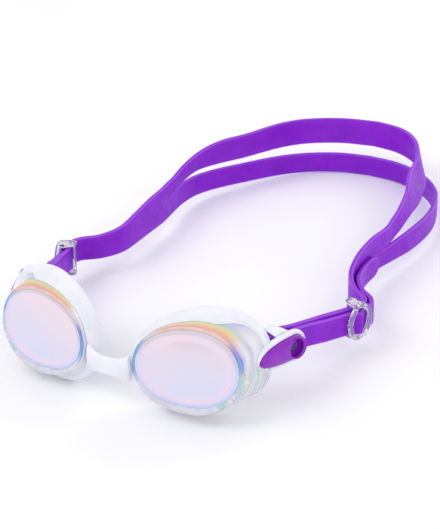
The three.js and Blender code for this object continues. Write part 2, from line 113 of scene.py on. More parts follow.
STRAP_THICK = 2.2
STRAP_HEIGHT = 11.4
STRAP_EDGE = 0.75                   # rounding of the strap's long edges
INNER_LAYER = -1.4                  # middle of the inner layer, from the route line
OUTER_LAYER = 1.1
SLIT_SPLIT = 9.0                    # lower band height at the slit's end
SLIT_HEIGHT = 18.5                  # strap height where it splits
SLIT_GAP = 0.3
LOWER_BAND = 11.4
UPPER_BAND = 14.2
UPPER_BAND_Z = 16.0                 # lower edge of the upper band at the back of the head
LEAN_NEAR = 25                      # degrees, upper band leaning in along the left side
LEAN_FAR = 10                       # and along the right side
LEAN_BACK = 17                      # degrees, leaning out at the back of the head
EYE_RADIUS = 3.5                    # middle of the strap where it wraps the post
TAIL_HEIGHT = 10.4
TAIL_BULGE = 2.4                    # the outer layer loops out between the slider's bars
BULGE_HALF = 4.0
TAIL_LIFT = 1.4                     # the free tail stands this far off the strap
TAIL_END = 0.93                     # where the tail ends, as a share of the side's route
TAIL_ROUND = 0.07                   # share of the route that the tail's rounded tip takes
TAIL_LEAVES = (6, 15)               # behind the slider, where the tail leaves the strap
TAIL_SETTLES = (18, 44)             # and where it comes back to it
SKEW_SIDE = -2.0                    # the loop lies askew: sideways shift beside the slit
SKEW_BACK = 5.5                     # and the further shift at the back of the head

CLIP_YAW = 18.0                     # degrees, clip turned outwards from the fore-aft line
CLIP_LENGTH = 27.5
CLIP_HEIGHT = 13.6
CLIP_REAR = 0.42                    # share of the clip's length behind the post
CLIP_FRONT = 0.58                   # and in front of it
COVER_BASE = 6.2                    # underside of the cover, outwards from the post
COVER_CROWN = 0.6
HOLE_RADIUS = 4.1
HOLE_BACK = 0.6                     # hole behind the middle of the cover's round end
CHEEK_REACH = 8.0                   # cheeks run in from the plate by this much
CHEEK_HALF = 3.7                    # half width, along the strap
CHEEK_GAP = 0.95                    # from the strap's edge to the middle of a cheek
CHEEK_THICK = 0.62                  # half thickness
RIM_RADIUS = 1.15                   # rounding of the white rim round the cover

# The strap's route: x, y, middle height, strap height. Its first stretch runs through the slider.
ROUTE_HEIGHT = 11.6                 # strap height on that stretch
SLIDERS = {
    "left": Vector((75.2, 75.0, 4.4)),
    "right": Vector((74.6, 70.0, 4.2)),
}
# Beyond the slider: how far behind it, how far inside it, middle height, strap height.
TURN_ROUTE = [
    (8.0, -2.4, 4.5, 11.8), (11.8, -0.4, 4.8, 12.0), (17.0, 6.3, 5.3, 12.4), (26.0, 12.0, 6.4, 13.6),
]
SIDE_ROUTE = [(61.6, 112.0, 7.9, 16.0), (61.9, 126.0, 8.9, 17.8), (62.7, 136.8, 9.25, SLIT_HEIGHT)]
HEAD_ROUTE = [
    (65.3, 150.0), (67.6, 163.0), (67.8, 180.0), (64.6, 194.0), (58.8, 208.0),
    (53.0, 219.5), (44.0, 232.0), (32.0, 242.5), (17.0, 249.8), (0.0, 252.4),
]

# ---- camera ------------------------------------------------------------------------------
CAMERA_AZIMUTH = 30.85
CAMERA_ELEVATION = 24.47
CAMERA_ROLL = -1.34
CAMERA_DISTANCE = 560.8
CAMERA_TARGET = Vector((12.8, 67.7, 20.0))
CAMERA_LENS = 85.77                 # mm
SENSOR = 36.0                       # mm
LIGHTS_AIM = (0, 0, 0.02)           # m, what all the lamps face

radians = math.radians
TURN = Matrix.Rotation(-radians(TABLE_PITCH), 4, "X")
post_low, post_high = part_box("left_strap_post")
TO_WORLD = Matrix.Translation((post_low + post_high) / 2 - TURN @ (POST * MM)) @ TURN


def world(point):
    return TO_WORLD @ (Vector(point) * MM)


def smoothstep(value, low, high):
    t = min(1.0, max(0.0, (value - low) / (high - low)))
    return t * t * (3 - 2 * t)


def signed_power(value, power):
    """A power of the value's size, with its sign kept."""
    return math.copysign(abs(value) ** power, value)


def make_camera():
    a, e, roll = radians(CAMERA_AZIMUTH), radians(CAMERA_ELEVATION), radians(CAMERA_ROLL)
    back = Vector((math.sin(a) * math.cos(e), -math.cos(a) * math.cos(e), math.sin(e)))
    level = Vector((math.cos(a), math.sin(a), 0))
    upright = level.cross(-back)
    right = math.cos(roll) * level + math.sin(roll) * upright
    up = -math.sin(roll) * level + math.cos(roll) * upright
    axes = Matrix((right, up, back)).transposed().to_4x4()
    data = bpy.data.cameras.new("camera")
    data.lens = CAMERA_LENS
    data.sensor_width = SENSOR
    data.clip_start = 0.01
    camera = bpy.data.objects.new("camera", data)
    bpy.context.scene.collection.objects.link(camera)
    camera.matrix_world = Matrix.Translation(world(CAMERA_TARGET + back * CAMERA_DISTANCE)) @ TURN @ axes
    bpy.context.scene.camera = camera


# ---- meshes ------------------------------------------------------------------------------
def new_object(name, mesh, look):
    piece = bpy.data.objects.new(name, mesh)
    bpy.context.scene.collection.objects.link(piece)
    mesh.materials.clear()
    mesh.materials.append(look)
    return piece


def ring_mesh(name, rings, look, loop=False, fields=None, sharp=50):
    """Smooth skin over equal rings of points in the goggles' frame, capped at its ends unless it loops.
    fields holds float attributes, one value for each point."""
    size = len(rings[0])
    count = len(rings)
    points = [world(p) for ring in rings for p in ring]
    faces = []
    for i in range(count if loop else count - 1):
        a, b = i * size, ((i + 1) % count) * size
        faces += [(a + j, a + (j + 1) % size, b + (j + 1) % size, b + j) for j in range(size)]
    if not loop:
        faces += [tuple(range(size)), tuple(range((count - 1) * size, count * size))]
    mesh = bpy.data.meshes.new(name)
    mesh.from_pydata(points, [], faces)
    for field, values in (fields or {}).items():
        attribute = mesh.attributes.new(field, "FLOAT", "POINT")
        attribute.data.foreach_set("value", np.array(values, np.float32))
    finish_mesh(mesh, sharp)
    return new_object(name, mesh, look)


def finish_mesh(mesh, sharp):
    work = bmesh.new()
    work.from_mesh(mesh)
    bmesh.ops.recalc_face_normals(work, faces=work.faces)
    work.to_mesh(mesh)
    work.free()
    mesh.polygons.foreach_set("use_smooth", [True] * len(mesh.polygons))
    mesh.set_sharp_from_angle(angle=radians(sharp))


def even_out(piece, look, voxel, rounds):
    """One even skin over a piece's shells, with its edges rounded over."""
    remesh = piece.modifiers.new("even", "REMESH")
    remesh.mode = "VOXEL"
    remesh.voxel_size = voxel * MM
    smooth = piece.modifiers.new("rounding", "SMOOTH")
    smooth.factor = 0.5
    smooth.iterations = rounds
    evaluated = piece.evaluated_get(bpy.context.evaluated_depsgraph_get())
    shaped = bpy.data.meshes.new_from_object(evaluated)
    piece.modifiers.clear()
    piece.data = shaped
    shaped.materials.clear()
    shaped.materials.append(look)
    finish_mesh(shaped, 180)


def spline(points, steps):
    """Centripetal Catmull-Rom curve: list of (place, point, tangent), place counting the spans.
    Its spacing comes from the first three values of each point."""
    p = [np.array(q, float) for q in points]
    p = [2 * p[0] - p[1]] + p + [2 * p[-1] - p[-2]]
    spans = len(p) - 3
    out = []
    for i in range(1, spans + 1):
        before, here, there, after = p[i - 1:i + 3]
        gap = [spacing(before, here), spacing(here, there), spacing(there, after)]
        start = (here - before) / gap[0] - (there - before) / (gap[0] + gap[1]) + (there - here) / gap[1]
        stop = (there - here) / gap[1] - (after - here) / (gap[1] + gap[2]) + (after - there) / gap[2]
        start, stop = start * gap[1], stop * gap[1]
        for k in range(steps + 1 if i == spans else steps):
            u = k / steps
            place = here * (2 * u**3 - 3 * u**2 + 1) + there * (3 * u**2 - 2 * u**3)
            place = place + start * (u**3 - 2 * u**2 + u) + stop * (u**3 - u**2)
            slope = (here - there) * (6 * u**2 - 6 * u)
            slope = slope + start * (3 * u**2 - 4 * u + 1) + stop * (3 * u**2 - 2 * u)
            out.append((i - 1 + u, place, slope))
    return out


def spacing(a, b):
    """Square root of the distance between two points of a curve."""
    return max(1e-6, np.linalg.norm(b[:3] - a[:3])) ** 0.5


def loop_spline(points, steps):
    """Closed smooth curve through flat points."""
    n = len(points)
    p = [np.array(q, float) for q in points]
    out = []
    for i in range(n):
        a, b, c, d = p[i - 1], p[i], p[(i + 1) % n], p[(i + 2) % n]
        for k in range(steps):
            u = k / steps
            square, cube = 2 * a - 5 * b + 4 * c - d, 3 * b - a - 3 * c + d
            out.append(0.5 * (2 * b + (c - a) * u + square * u**2 + cube * u**3))
    return out


# ---- materials -----------------------------------------------------------------------------
def srgb(red, green, blue):
    """Linear colour of a display colour given from 0 to 255."""
    values = [v / 255 for v in (red, green, blue)]
    return tuple(v / 12.92 if v <= 0.04045 else ((v + 0.055) / 1.055) ** 2.4 for v in values) + (1.0,)


class Look:
    """A node material being put together round one Principled shader."""

    def __init__(self, name, **sockets):
        self.material = bpy.data.materials.new(name)
        self.material.use_nodes = True
        self.tree = self.material.node_tree
        self.shader = self.tree.nodes["Principled BSDF"]
        for socket, value in sockets.items():
            self.shader.inputs[socket.replace("_", " ")].default_value = value

    def node(self, kind, **settings):
        made = self.tree.nodes.new(kind)
        for key, value in settings.items():
            setattr(made, key, value)
        return made

    def link(self, a, b):
        self.tree.links.new(a, b)

    def noise(self, size, detail=3.0, stretch=(1, 1, 1)):
        """Noise with features of about size mm."""
        place = self.node("ShaderNodeTexCoord")
        scale = self.node("ShaderNodeMapping")
        scale.inputs["Scale"].default_value = [k / (size * MM) for k in stretch]
        made = self.node("ShaderNodeTexNoise")
        made.inputs["Scale"].default_value = 1.0
        made.inputs["Detail"].default_value = detail
        self.link(place.outputs["Object"], scale.inputs["Vector"])
        self.link(scale.outputs["Vector"], made.inputs["Vector"])
        return made.outputs["Fac"]

    def field(self, name):
        return self.node("ShaderNodeAttribute", attribute_name=name).outputs["Fac"]

    def ramp(self, value, stops):
        made = self.node("ShaderNodeValToRGB")
        ramp = made.color_ramp
        ramp.interpolation = "EASE"
        while len(ramp.elements) < len(stops):
            ramp.elements.new(0.5)
        for element, (place, colour) in zip(ramp.elements, stops):
            element.position = place
            element.color = colour
        self.link(value, made.inputs["Fac"])
        return made.outputs["Color"]

    def span(self, value, low, high, start=0.0, stop=1.0):
        made = self.node("ShaderNodeMapRange", interpolation_type="SMOOTHSTEP")
        for socket, number in (("From Min", low), ("From Max", high), ("To Min", start), ("To Max", stop)):
            made.inputs[socket].default_value = number
        self.link(value, made.inputs["Value"])
        return made.outputs["Result"]

    def maths(self, operation, a, b):
        made = self.node("ShaderNodeMath", operation=operation)
        for k, value in enumerate((a, b)):
            if isinstance(value, (int, float)):
                made.inputs[k].default_value = value
            else:
                self.link(value, made.inputs[k])
        return made.outputs["Value"]

    def mix(self, factor, a, b):
        """Colour mix; factor, a and b are each a socket or a constant."""
        made = self.node("ShaderNodeMix", data_type="RGBA")
        for k, value in ((0, factor), (6, a), (7, b)):
            if isinstance(value, (int, float, tuple)):
                made.inputs[k].default_value = value
            else:
                self.link(value, made.inputs[k])
        return made.outputs[2]

    def set(self, socket, value):
        self.link(value, self.shader.inputs[socket])

    def bump(self, height, depth, strength):
        """Bump of a given depth in mm."""
        made = self.node("ShaderNodeBump")
        made.inputs["Strength"].default_value = strength
        made.inputs["Distance"].default_value = depth * MM
        self.link(height, made.inputs["Height"])
        self.link(made.outputs["Normal"], self.shader.inputs["Normal"])


def silicone(name, deep, bright, roughness, depth, scatter, edge=None):
    """Moulded silicone: a faint cloud of colour, a fine matt skin and a little light inside.
    edge is a paler colour painted along the strap's rounded edges as a highlight."""
    look = Look(name, Subsurface_Weight=scatter, Subsurface_Scale=2.0 * MM, IOR=1.42, Specular_IOR_Level=0.3)
    look.shader.inputs["Subsurface Radius"].default_value = (1.0, 0.7, 1.0)
    cloud = look.noise(9.0, 4.0)
    grain = look.noise(0.35, 2.0)
    colour = look.ramp(cloud, [(0.32, deep), (0.68, bright)])
    # painted highlight: the paler edge colour mixed in along the strap's rounded edges
    if edge:
        colour = look.mix(look.span(look.field("strap_edge_highlight"), 0.0, 1.0, 0.0, 0.5), colour, edge)
    look.set("Base Color", colour)
    look.set("Roughness", look.span(look.noise(3.0), 0.3, 0.7, roughness - 0.06, roughness + 0.07))
    look.bump(grain, depth, 0.6)
    return look.material


def strap_silicone():
    # the third colour is the paler purple of the painted highlight on the rounded edges
    deep, bright, edge = srgb(130, 22, 198), srgb(140, 28, 208), srgb(178, 96, 236)
    return silicone("strap_silicone", deep, bright, 0.44, 0.02, 0.1, edge)


def white_silicone(name):
    return silicone(name, srgb(228, 229, 239), srgb(235, 236, 244), 0.5, 0.015, 0.25)


def white_plastic():
    look = Look("white_plastic", IOR=1.5, Coat_Weight=0.3, Coat_Roughness=0.12)
    shades = [(0.3, srgb(224, 226, 238)), (0.7, srgb(236, 238, 248))]
    look.set("Base Color", look.ramp(look.noise(7.0), shades))
    look.set("Roughness", look.span(look.noise(2.0), 0.3, 0.7, 0.24, 0.34))
    look.bump(look.noise(0.5, 2.0), 0.01, 0.4)
    return look.material


def purple_plastic():
    look = Look("purple_plastic", IOR=1.5, Coat_Weight=0.35, Coat_Roughness=0.06, Specular_IOR_Level=0.3)
    look.set("Base Color", look.ramp(look.noise(8.0), [(0.3, srgb(132, 18, 178)), (0.7, srgb(144, 26, 192))]))
    look.set("Roughness", look.span(look.noise(2.5), 0.3, 0.7, 0.28, 0.36))
    return look.material


def painted_hole_shade():
    # Dark purple for the button at the bottom of the blind hole: painted shade in the recess, darker than the
    # cover.
    look = Look("painted_hole_shade", IOR=1.5)
    look.set("Base Color", look.ramp(look.noise(3.0), [(0.3, srgb(60, 12, 120)), (0.7, srgb(84, 20, 150))]))
    look.set("Roughness", look.span(look.noise(1.0), 0.3, 0.7, 0.35, 0.5))
    return look.material


def clear_plastic(name, tint, see_through):
    """Clear moulded plastic with faint flow marks and small scuffs in its polish."""
    look = Look(name, IOR=1.46, Transmission_Weight=see_through, Coat_Weight=0.4, Coat_Roughness=0.05)
    pale = srgb(*tint)
    deeper = srgb(*(round(v * 0.965) for v in tint))
    look.set("Base Color", look.ramp(look.noise(5.0), [(0.3, deeper), (0.7, pale)]))
    look.set("Roughness", look.span(look.noise(0.8, 4.0), 0.35, 0.75, 0.05, 0.16))
    look.bump(look.noise(2.2, 2.0), 0.03, 0.35)
    return look.material


def cup_plastic():
    """Clear cup with painted reflections in its walls: pink, orange and yellow bands painted over the top
    wall, blue and cyan painted at the two ends, and painted highlight marks elsewhere.
    """
    look = Look("cup_plastic", IOR=1.46, Coat_Weight=0.6, Coat_Roughness=0.04, Transmission_Weight=0.3)
    drift = look.maths("MULTIPLY", look.noise(7.0, 4.0), 0.16)
    wall = look.maths("ADD", look.field("cup_back"), drift)
    plain = look.ramp(look.noise(4.0), [(0.3, srgb(232, 232, 245)), (0.7, srgb(250, 249, 253))])
    # painted reflection on the top wall: pink and orange near the window, yellow-green towards the gasket
    warm_reflection = look.ramp(
        wall,
        [
            (0.06, srgb(250, 226, 216)),
            (0.14, srgb(246, 178, 182)),
            (0.24, srgb(250, 192, 150)),
            (0.36, srgb(246, 220, 160)),
            (0.48, srgb(228, 232, 182)),
            (0.60, srgb(196, 214, 214)),
            (0.75, srgb(214, 208, 240)),
        ],
    )
    # painted reflection at the two ends: cyan and blue-violet by the window, then white and lilac
    cool_reflection = look.ramp(
        wall,
        [
            (0.05, srgb(110, 205, 242)),
            (0.13, srgb(132, 136, 232)),
            (0.21, srgb(226, 220, 250)),
            (0.34, srgb(250, 248, 252)),
            (0.5, srgb(214, 210, 242)),
            (0.62, srgb(246, 246, 253)),
        ],
    )
    up, out = look.field("cup_up"), look.field("cup_out")
    # painted reflection marks at the temple, stretched along the rim: pink, orange, white, cyan and lilac
    flow = look.node("ShaderNodeCombineXYZ")
    look.link(look.maths("MULTIPLY", up, 0.9), flow.inputs["X"])
    look.link(look.maths("MULTIPLY", look.field("cup_back"), 3.4), flow.inputs["Y"])
    reflection_streak_noise = look.node("ShaderNodeTexNoise")
    reflection_streak_noise.inputs["Scale"].default_value = 1.3
    reflection_streak_noise.inputs["Detail"].default_value = 3.0
    reflection_streak_noise.inputs["Distortion"].default_value = 0.15
    look.link(flow.outputs["Vector"], reflection_streak_noise.inputs["Vector"])
    reflection_streaks = look.ramp(
        reflection_streak_noise.outputs["Fac"],
        [
            (0.32, srgb(248, 190, 186)),
            (0.39, srgb(251, 222, 190)),
            (0.44, srgb(252, 250, 250)),
            (0.49, srgb(178, 226, 226)),
            (0.53, srgb(250, 250, 254)),
            (0.57, srgb(206, 202, 240)),
            (0.61, srgb(252, 250, 250)),
            (0.68, srgb(248, 196, 190)),
        ],
    )
    # painted reflection bands round the wall, parallel to the window's rim
    reflection_lines = look.ramp(
        wall,
        [
            (0.05, srgb(246, 246, 252)),
            (0.12, srgb(214, 212, 240)),
            (0.17, srgb(250, 244, 250)),
            (0.30, srgb(240, 224, 236)),
            (0.36, srgb(248, 248, 253)),
            (0.60, srgb(216, 222, 244)),
            (0.72, srgb(250, 250, 253)),
        ],
    )
    # towards the temple the painted reflection marks cover the pale plastic; the top wall and the two ends
    # get their own painted reflections
    clear = look.mix(look.span(out, 0.3, 0.75, 0.0, 0.92), look.mix(0.6, plain, reflection_lines), reflection_streaks)
    top = look.maths("MULTIPLY", look.span(up, 0.2, 0.62), look.span(out, -0.75, -0.45))
    tips = look.span(look.maths("ABSOLUTE", out, 0.0), 0.72, 0.92)
    ends = look.maths("MULTIPLY", tips, look.span(up, -0.2, 0.1))
    look.set("Base Color", look.mix(top, look.mix(ends, clear, cool_reflection), warm_reflection))
    look.set("Roughness", look.span(look.noise(1.2, 4.0), 0.3, 0.7, 0.06, 0.16))
    return look.material


def mirror_coating():
    """Mirror coating on the window: peach at the top, lilac, then pale blue, and faint rings low down."""
    look = Look("mirror_coating", Metallic=0.8, IOR=1.5, Coat_Weight=0.3, Coat_Roughness=0.03)
    drift = look.maths("MULTIPLY", look.noise(16.0), 0.45)
    height = look.maths("ADD", look.maths("MULTIPLY", look.field("lens_height"), 0.6), drift)
    body = look.ramp(
        height,
        [
            (0.12, srgb(212, 219, 242)),
            (0.38, srgb(216, 216, 238)),
            (0.6, srgb(224, 216, 232)),
            (0.8, srgb(236, 217, 226)),
            (1.0, srgb(244, 220, 216)),
        ],
    )
    rim = look.field("lens_rim")
    rings = look.ramp(
        rim,
        [
            (0.00, srgb(196, 206, 238)),
            (0.045, srgb(222, 214, 240)),
            (0.085, srgb(244, 200, 222)),
            (0.12, srgb(222, 220, 242)),
            (0.16, srgb(242, 206, 226)),
            (0.21, srgb(220, 220, 242)),
            (0.27, srgb(232, 212, 234)),
            (0.36, srgb(216, 216, 238)),
        ],
    )
    low_down = look.span(height, 0.3, 0.75, 1.0, 0.25)
    near_rim = look.maths("MULTIPLY", look.span(rim, 0.02, 0.36, 0.85, 0.0), low_down)
    look.set("Base Color", look.mix(near_rim, body, rings))
    look.set("Roughness", look.span(look.noise(2.5, 4.0), 0.3, 0.7, 0.05, 0.1))
    look.bump(look.noise(14.0, 1.0), 0.05, 0.3)
    return look.material


def pin_metal():
    look = Look("pin_metal", Metallic=0.9)
    shades = [(0.3, srgb(190, 192, 200)), (0.7, srgb(214, 216, 222))]
    look.set("Base Color", look.ramp(look.noise(2.0), shades))
    look.set("Roughness", look.span(look.noise(0.5, 4.0, (1, 1, 8)), 0.3, 0.7, 0.25, 0.4))
    return look.material


# ---- eyecups ---------------------------------------------------------------------------------
def lens_frame(side):
    """The lens's own frame: x towards the temple, y back, z up."""
    mirror = Matrix.Scale(side, 4, (1, 0, 0))
    place = Matrix.Translation((PUPIL_HALF, 0, 0)) @ Matrix.Rotation(radians(LENS_WRAP), 4, "Z")
    lean = Matrix.Translation((0, 0, LENS_HEIGHT)) @ Matrix.Rotation(-radians(LENS_LEAN), 4, "X")
    return lean @ mirror @ place @ Matrix.Rotation(-radians(LENS_ROLL), 4, "Y")


def outline(angle, a, b):
    c, s = math.cos(angle), math.sin(angle)
    radius = (abs(c / a) ** LENS_POWER + abs(s / b) ** LENS_POWER) ** (-1 / LENS_POWER)
    return Vector((c * radius, s * radius)), Vector((c / a, s / b)).normalized()


def wall_point(angle, back, offset, depth, scale=1.0):
    """Point of the cup's side: back 0 at the window rim, 1 at the rear rim, moved out by offset."""
    front, normal = outline(angle, LENS_A, LENS_B)
    front *= 1 - NASAL_TAPER * max(0.0, math.cos(angle - radians(NASAL_CORNER))) ** 3
    rear, _ = outline(angle, CUP_REAR_A, CUP_REAR_B)
    rear.rotate(Matrix.Rotation(radians(CUP_REAR_TWIST), 2))
    rear += Vector((CUP_REAR_OUT, CUP_REAR_UP))
    flat = (front.lerp(rear, back) + normal * offset) * scale
    reach = CUP_DEPTH + CUP_DEPTH_SWING * math.cos(angle)
    return Vector((flat.x, reach * back + depth, flat.y))


def window_inset(angle):
    """How far the window's edge lies inside the cup's own outline."""
    return WINDOW_LIFT * max(0.0, -math.sin(angle)) ** 1.4


def outline_angles():
    return [2 * math.pi * i / OUTLINE_STEPS for i in range(OUTLINE_STEPS)]


def make_lens(label, side, look):
    place = lens_frame(side)
    edge = [(0.0, LENS_THICK), (0.0, 0.3), (0.0, -0.02), (-0.2, -0.1), (-0.5, -0.2), (-0.9, -0.28)]
    rings, rims, heights = [], [], []

    def add(offset, depth, scale, rim):
        ring = []
        for angle in outline_angles():
            out = offset + LENS_LET_IN - window_inset(angle)
            ring.append(place @ wall_point(angle, 0, out, depth, scale))
        rings.append(ring)
        rims.extend([rim] * OUTLINE_STEPS)
        heights.extend([0.5 + 0.5 * math.sin(angle) * (1 - rim) for angle in outline_angles()])

    add(-0.5, LENS_THICK, 1.0, 0.0)
    for offset, depth in edge:
        add(offset, depth, 1.0, 0.0)
    face, crown, first_step, second_step = -0.3, 0.1, 0.05, 0.04
    for i in range(LENS_RINGS):
        rim = i / LENS_RINGS
        step = first_step * smoothstep(rim, 0.085, 0.095) + second_step * smoothstep(rim, 0.17, 0.18)
        add(-1.1, face - crown * math.sin(rim * math.pi / 2) + step, 1 - rim, rim)
    add(-1.1, face - crown + first_step + second_step, 0.004, 1.0)
    fields = {"lens_rim": rims, "lens_height": heights}
    lens = ring_mesh(f"{label}_lens_window", rings, look, fields=fields, sharp=40)
    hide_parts(f"{label}_lens")
    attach(lens, "front")


CUP_LIP = 3                         # section points that follow the window's edge, at the start
CUP_SEAT = 3                        # and at the end
CUP_REAR = 16                       # end of the points that the temple lug carries outwards
LUG_OUT = 3.5
LUG_BACK = 3.4
LUG_HOLLOW = 0.5                    # the lug is dished where the clip's tip lies on it
# Sections of the cup's wall and of the gasket: back, offset and depth, as in wall_point.
CUP_SECTION = [
    (0.0, 0.02, 0.32), (0.0, 0.08, 0.06), (0.0, 0.3, -0.06), (0.0, 0.85, -0.04), (0.02, 1.2, 0.03),
    (0.06, 1.42, 0.0), (0.14, 1.5, 0.0), (0.3, 1.5, 0.0), (0.5, 1.46, 0.0), (0.7, 1.4, 0.0),
    (0.84, 1.34, 0.0), (0.9, 1.4, 0.0), (0.94, 1.6, 0.0), (1.0, 1.75, -0.05), (1.0, 1.6, 0.12),
    (1.0, 1.2, 0.2), (1.0, 0.2, 0.2), (1.0, -0.3, 0.05), (0.9, -0.75, 0.0), (0.6, -CUP_WALL, 0.3),
    (0.3, -CUP_WALL, 0.9), (0.0, -CUP_WALL, 1.62), (0.0, -0.9, 1.66), (0.0, 0.0, 1.6),
]
GASKET_SECTION = [
    (0.44, 1.52, 0.0), (0.50, 2.0, 0.0), (0.72, 2.45, 0.0), (0.9, 3.0, 0.0), (1.0, 3.45, 0.9),
    (1.0, 3.95, 2.1), (1.0, 4.15, 3.3), (1.0, 3.95, 4.4), (1.0, 3.1, 5.25), (1.0, 1.9, 5.75),
    (1.0, 1.15, 5.7), (1.0, 0.95, 5.0), (1.0, 1.8, 4.4), (1.0, 2.55, 3.75), (1.0, 2.45, 3.0),
    (1.0, 1.4, 2.2), (1.0, 0.3, 1.9), (1.0, -0.55, 1.6), (1.0, -0.6, 0.5), (0.98, 0.4, 0.0),
    (0.9, 1.2, 0.0), (0.7, 1.3, 0.0), (0.55, 1.35, 0.0),
]


def temple_lug(angle):
    """1 at the temple, where the clear wall runs out over the gasket to carry the clip."""
    turn = math.degrees(math.atan2(math.sin(angle), math.cos(angle)))
    hollow = LUG_HOLLOW * math.exp(-(((turn + 4) / 15) ** 2))
    below_gasket = 1 - smoothstep(math.sin(angle), 0.1, 0.45)
    return smoothstep(math.cos(angle), 0.42, 0.86) * (1 - hollow) * below_gasket


def make_eyecup(label, side, look):
    place = lens_frame(side)
    rings, backs, ups, outs = [], [], [], []
    for angle in outline_angles():
        ring = []
        for k, (back, offset, depth) in enumerate(CUP_SECTION):
            inset = window_inset(angle) if k < CUP_LIP or k >= len(CUP_SECTION) - CUP_SEAT else 0.0
            lug = temple_lug(angle) * back if CUP_LIP < k < CUP_REAR else 0.0
            out = offset - inset + LUG_OUT * lug
            ring.append(place @ wall_point(angle, back, out, depth + LUG_BACK * lug * back))
            backs.append(back)
        rings.append(ring)
        ups.extend([math.sin(angle)] * len(CUP_SECTION))
        outs.extend([math.cos(angle)] * len(CUP_SECTION))
    fields = {"cup_back": backs, "cup_up": ups, "cup_out": outs}
    cup = ring_mesh(f"{label}_eyecup_shell", rings, look, loop=True, fields=fields)
    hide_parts(f"{label}_eyecup")
    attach(cup, "front")


def gasket_overlap(angle):
    """1 where the gasket reaches forward over the top of the cup, 0 where it stays at the rear rim."""
    c, s = math.cos(angle), math.sin(angle)
    return 0.05 + 0.95 * smoothstep(s, -0.25, 0.45) * (1 - smoothstep(c, 0.62, 0.97))


def make_gasket(label, side, look):
    place = lens_frame(side)
    section = loop_spline(GASKET_SECTION, 3)
    rings = []
    for angle in outline_angles():
        over = gasket_overlap(angle)
        rings.append([place @ wall_point(angle, 1 - (1 - back) * over, *rest) for back, *rest in section])
    gasket = ring_mesh(f"{label}_gasket_flange", rings, look, loop=True)
    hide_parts(f"{label}_gasket")
    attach(gasket, "front")


def make_bridge(look):
    """Soft saddle between the cups: flat and wide at its ends, narrow over the nose."""
    steps, around = 48, 28
    rings = []
    for i in range(steps + 1):
        t = 2 * i / steps - 1
        close = min(1.0, (1 - abs(t)) / 0.06)
        swell = 0.55 + 0.45 * math.sqrt(max(0.0, 1 - (1 - close) ** 2))
        height = (BRIDGE_HEIGHT + BRIDGE_FLARE * abs(t) ** 3) * swell
        thick = BRIDGE_THICK * swell
        middle = Vector((BRIDGE_HALF * t, -3.4 + 1.6 * t * t, 0.2 + 0.6 * t * t))
        ring = []
        for j in range(around):
            angle = 2 * math.pi * j / around
            flatness = signed_power(math.sin(angle), 0.7)
            ring.append(middle + Vector((0, thick * flatness, height * math.cos(angle))))
        rings.append(ring)
    bridge = ring_mesh("nose_saddle", rings, look, sharp=60)
    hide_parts("nose_bridge")
    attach(bridge, "front")


# ---- strap -----------------------------------------------------------------------------------
def skew(point):
    """The strap loop lies a little askew on the table."""
    shift = SKEW_SIDE * smoothstep(point.y, 90, 132) + SKEW_BACK * smoothstep(point.y, 172, 222)
    return point + Vector((shift, 0, 0))


def strap_ring(place, tangent, low, high, side, shift=0.0, lean=0.0, thick=STRAP_THICK):
    """Rounded strap section: low and high are its edges above place, shift moves it outwards."""
    out = Vector((tangent[1], -tangent[0], 0)).normalized()
    up = out * math.sin(lean) + Vector((0, 0, math.cos(lean)))
    across = out * math.cos(lean) - Vector((0, 0, math.sin(lean)))
    edge = min(STRAP_EDGE, 0.48 * thick, 0.48 * (high - low))
    ring = []
    for k, (h, t) in enumerate(((low, -1), (low, 1), (high, 1), (high, -1))):
        turn = (math.pi, -math.pi / 2, 0, math.pi / 2)[k]
        for i in range(5):
            angle = turn + (math.pi / 2) * i / 4
            centre_h = h + edge * (1 if h == low else -1)
            centre_t = t * (thick / 2 - edge)
            ring.append((centre_h + edge * math.sin(angle), centre_t + edge * math.cos(angle)))
        if k in (1, 3):
            for share in (0.25, 0.5, 0.75):
                a = low + edge + (high - low - 2 * edge) * (share if k == 1 else 1 - share)
                ring.append((a, t * (thick / 2 + 0.03)))
    base = Vector(place)
    points = [base + up * h + across * (t + shift) for h, t in ring]
    return [skew(Vector((side * p.x, p.y, p.z))) for p in points]


def edge_highlight_field(rings):
    """1 on the rounded edges of the strap, where a highlight is painted, 0 on its faces."""
    corner = [0.25, 1.0, 1.0, 1.0, 0.25]
    face = [0.0, 0.0, 0.0]
    return (corner + corner + face + corner + corner + face) * len(rings)


def side_route(label):
    """Route of one side, from before the slider to the slit."""
    slider = SLIDERS[label]
    before = POST.lerp(slider, 0.6)
    turn = [(slider.x - inside, slider.y + behind, z, h) for behind, inside, z, h in TURN_ROUTE]
    return [(*before, ROUTE_HEIGHT), (*slider, ROUTE_HEIGHT), *turn, *SIDE_ROUTE]


def head_share(label, place):
    """Place on the whole curve as a share of the way from the slit to the back of the head."""
    return (place - slit_place(label)) / len(HEAD_ROUTE)


def slit_place(label):
    """Where the slit starts, counting the spans of the route."""
    return len(side_route(label)) - 1


def rise(t, length):
    return smoothstep(t, 0, length)


def upper_section(t, side):
    """Lower edge, upper edge and lean of the upper band, t 0 at the slit to 1 at the back."""
    low = SLIT_SPLIT + SLIT_GAP + (UPPER_BAND_Z - SLIT_SPLIT - SLIT_GAP) * rise(t, 0.3)
    high = SLIT_HEIGHT + (UPPER_BAND_Z + UPPER_BAND - SLIT_HEIGHT) * rise(t, 0.45)
    near, far = LEAN_NEAR * math.sin(math.pi * t), LEAN_FAR * math.sin(math.pi * min(1, 1.3 * t))
    return low, high, radians(LEAN_BACK * rise(t - 0.45, 0.55) - (near if side > 0 else far))


def whole_curve(label):
    """Curve from before the slider to the back of the head, its fourth value the strap height."""
    head = [(x, y, SLIT_HEIGHT / 2, SLIT_HEIGHT) for x, y in HEAD_ROUTE]
    return spline(side_route(label) + head, CURVE_STEPS)


